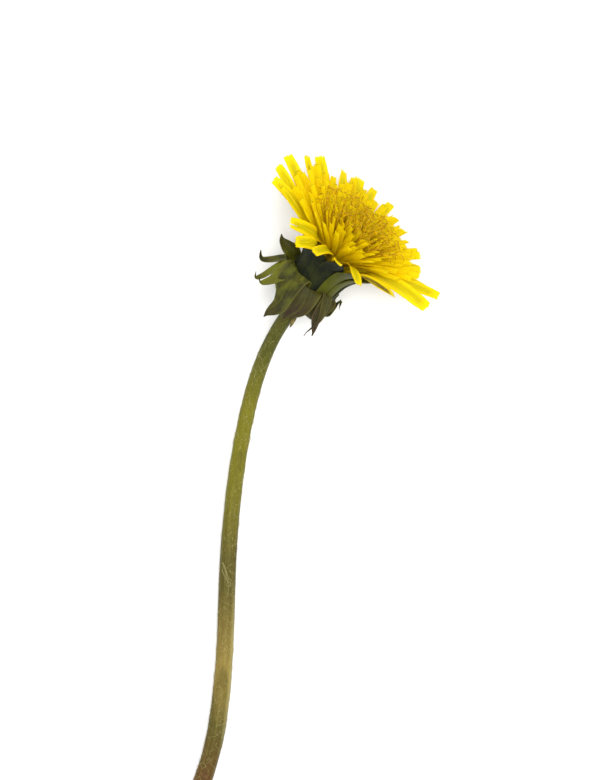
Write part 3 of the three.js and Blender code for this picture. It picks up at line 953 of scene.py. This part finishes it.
# Each outer bract: its turn, how high its fold stands, how far out and how high its tip is, its
# share of the full width, how far its tip hooks back up, how slender its tip is, how far its
# belly leans round, how wide its fold is, how far its face turns to the open side, and how brown
# it is.
OUTER_BRACTS = [
    (172, 8.2, 12.3, 9.8, 1.35, 0.5, 0.5, 4, 3.0, 0.75, 0.35),
    (190, 7.3, 13.7, 5.3, 1.0, 1.9, 0.8, 2, 1.6, 0.35, 0.45),
    (206, 6.4, 12.6, 1.8, 0.82, 2.1, 0.8, 3, 3.0, 0.3, 0.1),
    (222, 7.2, 13.3, 2.4, 1.35, 1.9, 0.7, 4, 1.6, 0.2, 0.0),
    (241, 8.4, 7.7, -4.8, 1.7, 0.2, 0.5, 12, 3.0, 0, 0.45),
    (268, 7.4, 8.8, -1.6, 1.4, 0.0, 0, 8, 1.6, 0, 0.8),
    (300, 8.4, 11.4, -1.2, 0.62, 0.4, 1.0, 8, 3.0, 0, 0.8),
    (313, 7.2, 10.6, -0.8, 0.95, 0.5, 0.1, -8, 1.6, 0.1, 0.9),
    (331, 7.0, 7.5, 2.8, 0.7, 0.2, 0.6, -6, 0.6, 0, 0.95),
    (18, 6.4, 8.6, 4.4, 0.5, 0.3, 0.7, 0, 0.4, 0, 0.5),
    (48, 6.4, 11.0, 1.5, 0.75, 1.0, 0.5, 0, 0.9, 0, 0.4),
    (88, 4.2, 12.8, -2.6, 0.9, 0.0, 0.3, 0, 1.6, 0, 0.4),
    (124, 4.4, 15.2, -3.0, 0.9, 0.0, 0.3, 0, 3.0, 0, 0.4),
]


class DANDELION_OT_outer_bracts(bpy.types.Operator):
    """Builds the outer bracts, folded back round the stem with curled tips"""

    bl_idname = "dandelion.outer_bracts"
    bl_label = "Outer bracts"

    def execute(self, context):
        settings = context.scene.dandelion_bracts
        finish = bract_finish(
            settings, "olive_folded_bract", settings.fold_colour, settings.tip_colour, 0.6
        )
        shares = np.linspace(0, 1, 60)
        full = settings.width / MM / 2
        for i, bract in enumerate(OUTER_BRACTS):
            degrees, fold, tip_out, tip_up, width, hook = bract[:6]
            slender, lean, fold_width, facing, brown = bract[6:]
            layer = i % 2
            hug = CUP_RADIUS + 0.25 + 0.8 * (layer + 0.5) + 1.1 * GAP
            outside = (hug + fold_width, fold + 0.3 * (tip_up - fold))
            sag = (
                outside[0] + 0.68 * (tip_out - outside[0]),
                outside[1] + 0.68 * (tip_up - outside[1]) - hook,
            )
            knots = [
                (RECEPTACLE_RADIUS - 0.1 - 0.8 * layer, 1.15 - 0.6 * layer),
                (hug - 0.05, 2.0 - 0.3 * layer),
                (hug, 0.62 * fold),
                (hug + 0.45 * fold_width, fold),
                outside,
                sag,
                (tip_out, tip_up),
            ]
            profile = evenly(spline(knots, np.linspace(0, 1, 200)), 60)
            turn = math.radians(degrees)
            belly = smooth(shares, 0.35, 0.75) * (1 - smooth(shares, 0.75, 1))
            path = turned(profile, turn + math.radians(lean) * belly)
            reference = sideways(turn, 60)
            leafy = spline([0.6, 0.85, 1, 1.05, 1.08, 1.06, 0.96, 0.74, 0.4, 0.02], shares)
            drawn = spline([0.6, 0.85, 1, 1.05, 1.0, 0.82, 0.55, 0.34, 0.2, 0.02], shares)
            widths = full * width * (leafy + (drawn - leafy) * slender)
            skin = Skin()
            skin.blade(
                path,
                reference,
                widths,
                twist=facing_twist(path, reference, facing) * smooth(shares, 0.4, 0.8),
                curl=0.45 - 0.25 * smooth(shares, 0.3, 0.6) + 0.5 * smooth(shares, 0.75, 1),
                across=15,
                rows=44,
                thickness=settings.thickness / MM,
                tint=brown,
                ripple=0.22,
                ripples=1.7,
                keel=0.16,
            )
            number = f"{i + 1:02d}"
            skin.piece(f"folded_bract_{number}", finish, [f"outer_bract_{number}"], "outer_bract")
        return {"FINISHED"}


# ---- Florets ----

# Each ray floret of the two outer whorls: its turn, its share of the reach, how far its tip
# stands above the cup's mouth, how far its face turns to the open side of the head, and its share
# of the full width.
RAY_FLORETS = [
    (8, 1.04, 6.1, 0.75, 1.0),
    (19, 1.02, 4.3, 0.3, 0.85),
    (42, 0.95, 4.7, 0.1, 0.6),
    (52.5, 0.94, 5.0, 0.2, 0.9),
    (63, 0.95, 5.1, 0, 0.95),
    (73, 0.94, 6.2, 0, 1),
    (85, 1.0, 9.2, 0, 1),
    (97, 1.0, 9.4, 0, 0.95),
    (107, 1.0, 9.6, 0, 1.35),
    (119, 1.0, 9.0, 0.1, 1),
    (132, 0.9, 7.6, 0.2, 0.9),
    (138, 1.0, 9.7, 0.7, 1.2),
    (149.5, 0.99, 9.0, 0.2, 0.75),
    (171.8, 1.0, 8.9, 0.7, 1.15),
    (187.5, 1.0, 7.8, 0.8, 1.1),
    (201, 1.0, 6.5, 0.8, 1.05),
    (206.5, 0.91, 6.6, 0.6, 0.62),
    (234, 0.93, 4.2, 0.7, 1.3),
    (245, 0.9, 2.0, 0.8, 1.25),
    (259, 0.84, 2.8, 0.3, 1.1),
    (275, 0.93, 5.3, 0, 1),
    (292.5, 0.93, 3.9, 0, 1.1),
    (316, 0.95, 5.7, -0.45, 1.1),
    (344, 1.05, 5.4, 0.85, 1.35),
]

TOOTH_COLUMNS = np.linspace(-1, 1, 21)
INNER_COLUMNS = np.linspace(-1, 1, 11)


def tooth_ends(columns, depth, split, length, rng):
    """How far along the path each column of a strap reaches, with five teeth at its end."""
    cut = 0.6 * depth * np.abs(columns) ** 5
    for valley in (-0.6, -0.2, 0.2, 0.6):
        notch = np.maximum(0, 1 - np.abs(columns - valley) / 0.19)
        cut = cut + depth * rng.uniform(0.2, 1) * notch
    cut = cut + split * np.maximum(0, 1 - np.abs(columns - 0.2) / 0.15)
    return 1 - cut / length


def style(skin, root, top, radius, rng, tint):
    """An anther tube with its style and two curled stigma arms."""
    column = bent([root, (root + top) / 2 + rng.normal(0, 0.25, 3), top], 8)
    skin.tube(column, np.interp(np.linspace(0, 1, 8), [0, 0.85, 1], [0.2, 0.3, 0.14]), 7, 0.1)
    lean = unit(top - root)
    thread_end = top + lean * rng.uniform(0.7, 1.7) + rng.normal(0, 0.25, 3)
    thread = bent([top, (top + thread_end) / 2 + rng.normal(0, 0.15, 3), thread_end], 7)
    skin.tube(thread, radius * 1.1, 6, tint)
    arm_side = unit(np.cross(lean, rng.normal(0, 1, 3)))
    for way in (1, -1):
        angle = np.linspace(0, rng.uniform(0.9, 2.6), 12)
        size = rng.uniform(0.8, 1.4)
        arm = thread_end + size * (
            lean * np.sin(angle)[:, None] + way * arm_side * (1 - np.cos(angle))[:, None]
        )
        skin.tube(arm, radius * np.linspace(1.05, 0.7, 12), 6, tint)


class DANDELION_OT_ray_florets(bpy.types.Operator):
    """Builds the outer ray florets one by one, with their ovaries, tubes and toothed straps"""

    bl_idname = "dandelion.ray_florets"
    bl_label = "Ray florets"

    def execute(self, context):
        settings = context.scene.dandelion_florets
        finish = strap_finish(settings, "outer_strap", 1)
        rng = np.random.default_rng(21)
        half_width = settings.strap_width / MM / 2
        cup = np.linspace(0.13, 1, 30)
        for i, (degrees, share, rise, facing, full) in enumerate(RAY_FLORETS):
            distance = OUTER_WHORLS[i % 2]
            even = i / len(RAY_FLORETS) * 360 - 7
            start, end = math.radians(0.85 * degrees + 0.15 * even), math.radians(degrees)
            mouth = inside_wall(1, distance)
            tip = np.array([share * HEAD_REACH, CUP_HEIGHT + rise])
            pull = 0.3 * np.linalg.norm(tip - mouth)
            outside = bent([mouth, mouth + CUP_WALL_ALONG[-1] * pull, tip], 50)
            profile = np.vstack([inside_wall(cup, distance), outside[1:]])
            q = np.concatenate([cup, np.linspace(1, 2, 50)[1:]])
            turns = start + (end - start) * smooth(q, 0.5, 1.6)
            path = turned(profile, turns)
            reach = reached(path)
            q_even = np.interp(np.linspace(0, reach[-1], 90), reach, q)
            path = evenly(path, 90)
            reference = sideways(end, 90)
            outline = np.interp(
                q_even,
                [0.13, 0.9, 1, 1.22, 1.46, 1.7, 1.88, 2],
                [0.95, 0.95, 0.9, 0.96, 1, 1, 0.94, 0.78],
            )
            width = half_width * full * outline
            opened = rng.uniform(0.15, 0.45)
            curl = 2.85 + (opened - 2.85) * smooth(q_even, 0.6, 1.12)
            twist = facing_twist(path, reference, facing) + rng.normal(0, 0.12)
            bow = rng.normal(0, 0.5) * smooth(q_even, 1.1, 2) ** 2
            split = rng.uniform(2.5, 4) if i == 17 else 0
            skin = Skin()
            skin.blade(
                path + reference * bow[:, None] * 0.5,
                reference,
                width,
                curl,
                twist * smooth(q_even, 0.95, 1.5),
                across=TOOTH_COLUMNS,
                ends=tooth_ends(TOOTH_COLUMNS, rng.uniform(0.5, 1.1), split, reach[-1], rng),
                rows=46,
                thickness=settings.strap_thickness / MM,
                tint=rng.random(),
                ripple=0.14,
                ripples=rng.uniform(2, 4),
            )
            ovary = turned(inside_wall(np.linspace(0.1, 0.26, 9), distance), start)
            girth = OVARY_RADIUS * np.sin(np.linspace(0.25, 2.9, 9)) ** 0.7
            skin.tube(ovary, girth, 10, 0.9)
            number = f"{i + 1:02d}"
            skin.piece(f"ray_strap_{number}", finish, [f"ray_floret_{number}"], "yellow_strap")
        return {"FINISHED"}


# The whorls inside the ray florets: reach, number of florets and width of a strap.
INNER_WHORLS = [
    (19.4, 25, 2.2),
    (17.2, 26, 2.1),
    (14.8, 25, 2.0),
    (12.2, 21, 1.8),
    (9.8, 18, 1.7),
    (7.2, 14, 1.5),
    (4.7, 10, 1.4),
    (2.2, 6, 1.3),
]


# Where the head is uneven: the turn at the middle of each uneven part, how many degrees it
# spreads to each side, and by how much the inner florets reach less far or farther there.
UNEVEN_REACH = [
    (272, 60, -0.3),
    (127, 8, -0.14),
    (114, 8, 0.11),
    (92, 8, -0.12),
    (62, 10, -0.06),
    (46, 8, -0.08),
    (20, 36, -0.11),
]


def inner_route(reach, height):
    """An inner floret's (out, up) route inside the cup and on to its strap's tip, and the share
    of it that the cup hides."""
    cup = inside_wall(np.linspace(0.25, 1, 20), 0) * [0.64 * (reach / 20) ** 0.75, 1]
    lean = unit(CUP_WALL_ALONG[-1] * [reach / 20, 1])
    tip = np.array([reach, height])
    pull = 0.35 * np.linalg.norm(tip - cup[-1])
    strap = bent([cup[-1], cup[-1] + lean * pull, tip], 40)
    hidden = length_of(cup) / (length_of(cup) + length_of(strap))
    return evenly(np.vstack([cup, strap[1:]]), 60), hidden


def dome_height(reach, turn):
    """How high a strap's tip stands: the head's far side rises more than its near side."""
    edge = CUP_HEIGHT + 7 + 2.2 * math.cos(turn - math.radians(120))
    return DOME_HEIGHT - (DOME_HEIGHT - edge) * (reach / HEAD_REACH) ** 1.6


class DANDELION_OT_inner_florets(bpy.types.Operator):
    """Builds the inner whorls of florets, whorl by whorl, towards the middle of the head"""

    bl_idname = "dandelion.inner_florets"
    bl_label = "Inner florets"

    def execute(self, context):
        settings = context.scene.dandelion_florets
        young = strap_finish(settings, "inner_strap", 0)
        gold = style_finish(settings)
        rng = np.random.default_rng(33)
        radius = settings.style_radius / MM
        styles = [Skin(), Skin(), Skin()]
        for k, (whorl_reach, count, width) in enumerate(INNER_WHORLS):
            skin = Skin()
            for j in range(count):
                turn = 2 * math.pi * (j + 0.5 * (k % 2) + rng.normal(0, 0.16)) / count
                reach = whorl_reach * rng.uniform(0.92, 1.05)
                for middle, spread, change in UNEVEN_REACH:
                    apart = (math.degrees(turn) - middle + 180) % 360 - 180
                    reach *= 1 + change * math.exp(-((apart / spread) ** 2))
                height = dome_height(reach, turn) + rng.normal(0, 0.35)
                profile, hidden = inner_route(reach, height)
                shares = np.linspace(0, 1, 60)
                path = turned(profile, turn + rng.normal(0, 0.05) * smooth(shares, 0.4, 1))
                reference = sideways(turn, 60)
                opened = rng.uniform(0.4, 1.1) + 0.8 * (1 - whorl_reach / 20)
                curl = 2.85 + (opened - 2.85) * smooth(shares, hidden - 0.1, hidden + 0.16)
                half = width / 2 * spline([0.9, 0.9, 0.95, 1, 1, 0.78], shares)
                half *= 1 - 0.3 * max(0, math.cos(turn - math.radians(265)))
                tint = rng.random()
                length = length_of(path)
                twist = facing_twist(path, reference, rng.uniform(0, 0.75) * math.cos(turn) ** 2)
                twist += rng.normal(0, 0.3)
                skin.blade(
                    path,
                    reference,
                    half,
                    curl,
                    twist * smooth(shares, hidden, 0.9),
                    across=INNER_COLUMNS,
                    ends=tooth_ends(INNER_COLUMNS, rng.uniform(0.4, 0.9), 0, length, rng),
                    rows=26,
                    thickness=settings.strap_thickness / MM,
                    tint=tint,
                    ripple=0.1,
                    ripples=rng.uniform(2, 4),
                )
                if whorl_reach < 18:
                    out = 0.6 * reach
                    top_height = DOME_HEIGHT - 1.7 + rng.normal(0, 0.4) - 0.012 * out**2
                    ends = turned([(0.4 * reach, 18.5), (out, top_height)], np.array([turn, turn]))
                    style(styles[j % 3], *ends, radius, rng, 0.3 + 0.7 * tint)
            nodes = ["middle_florets"] if k < 4 else ["central_florets"]
            slot = "yellow_strap" if k < 4 else "golden_strap"
            skin.piece(f"inner_whorl_{k + 1}", young, nodes, slot)
        for i, skin in enumerate(styles):
            skin.piece(f"styles_{i + 1}", gold, ["central_florets"], "golden_strap")
        return {"FINISHED"}


# ---- Stage ----


class DANDELION_OT_stage(bpy.types.Operator):
    """Builds the pale table, the soft lights and the camera above the flower"""

    bl_idname = "dandelion.stage"
    bl_label = "Stage"

    def execute(self, context):
        settings = context.scene.dandelion_stage
        scene = context.scene
        middle = (CAD_BOX[0] + CAD_BOX[1]) / 2

        finish = Finish("plain_table")
        grain = finish.node("ShaderNodeTexCoord", output="Object")
        dust = finish.noise(grain, (900, 900, 900), 2)
        colour = finish.mix(dust * 0.04, settings.floor_colour, (0.8, 0.8, 0.8))
        table = finish.close(colour, 0.8, finish.bump(dust, 0.01), gloss=0.1)
        mesh = bpy.data.meshes.new("table_top")
        half = TABLE_WIDTH / 2 * MM
        corners = [(-half, -half, 0), (half, -half, 0), (half, half, 0), (-half, half, 0)]
        mesh.from_pydata(corners, [], [(0, 1, 2, 3)])
        mesh.materials.append(table)
        floor = bpy.data.objects.new("table_top", mesh)
        floor.location = (0, 0, CAD_BOX[0].z - TABLE_DROP * MM)
        scene.collection.objects.link(floor)

        for name, power, size, place in (
            ("top_light", settings.top_power, 1.0, (0.14, 0.1, 2.2)),
            ("key_light", settings.key_power, 1.0, (0.9, 0.2, 0.75)),
            ("fill_light", settings.fill_power, 1.2, (-0.8, 0.5, 0.9)),
        ):
            lamp = bpy.data.lights.new(name, "AREA")
            lamp.energy = power
            lamp.size = size
            light = bpy.data.objects.new(name, lamp)
            light.location = middle.to_tuple()
            light.location += type(middle)(place)
            light.rotation_mode = "QUATERNION"
            light.rotation_quaternion = type(middle)(place).to_track_quat("Z", "Y")
            scene.collection.objects.link(light)

        sky = bpy.data.worlds.new("even_sky")
        sky.use_nodes = True
        background = sky.node_tree.nodes["Background"]
        background.inputs["Color"].default_value = (1, 1, 1, 1)
        background.inputs["Strength"].default_value = settings.sky_strength
        scene.world = sky

        lens = bpy.data.cameras.new("overhead_camera")
        lens.sensor_width = 36
        lens.lens = 36 * (settings.camera_height - 0.01) / settings.view_height
        lens.clip_start = 0.1
        lens.clip_end = 20
        camera = bpy.data.objects.new("overhead_camera", lens)
        x, y = (JOINT[:2] + CAMERA_PLACE) * MM
        camera.location = (x, y, settings.camera_height)
        scene.collection.objects.link(camera)
        scene.camera = camera

        scene.view_settings.view_transform = "Standard"
        scene.view_settings.look = "None"
        scene.view_settings.exposure = 0
        return {"FINISHED"}


# ---- Panel ----

STEPS = [
    DANDELION_OT_stage,
    DANDELION_OT_stem,
    DANDELION_OT_stem_hairs,
    DANDELION_OT_receptacle,
    DANDELION_OT_inner_bracts,
    DANDELION_OT_outer_bracts,
    DANDELION_OT_ray_florets,
    DANDELION_OT_inner_florets,
]
SETTINGS = {
    "dandelion_florets": DandelionFlorets,
    "dandelion_bracts": DandelionBracts,
    "dandelion_stem": DandelionStem,
    "dandelion_stage": DandelionStage,
}


class DANDELION_PT_panel(bpy.types.Panel):
    """The dandelion's settings and the steps that build it"""

    bl_idname = "DANDELION_PT_panel"
    bl_label = "Cut dandelion"
    bl_space_type = "VIEW_3D"
    bl_region_type = "UI"
    bl_category = "Dandelion"

    def draw(self, context):
        for key, group in SETTINGS.items():
            box = self.layout.box()
            box.label(text=group.__doc__)
            for name in group.__annotations__:
                box.prop(getattr(context.scene, key), name)
        for step in STEPS:
            self.layout.operator(step.bl_idname)


def register():
    for group in SETTINGS.values():
        bpy.utils.register_class(group)
    for key, group in SETTINGS.items():
        setattr(bpy.types.Scene, key, bpy.props.PointerProperty(type=group))
    for step in STEPS:
        bpy.utils.register_class(step)
    bpy.utils.register_class(DANDELION_PT_panel)


def unregister():
    bpy.utils.unregister_class(DANDELION_PT_panel)
    for step in reversed(STEPS):
        bpy.utils.unregister_class(step)
    for key in SETTINGS:
        delattr(bpy.types.Scene, key)
    for group in reversed(SETTINGS.values()):
        bpy.utils.unregister_class(group)


def main():
    register()
    for step in STEPS:
        group, name = step.bl_idname.split(".")
        getattr(getattr(bpy.ops, group), name)()


if __name__ == "__main__":
    main()
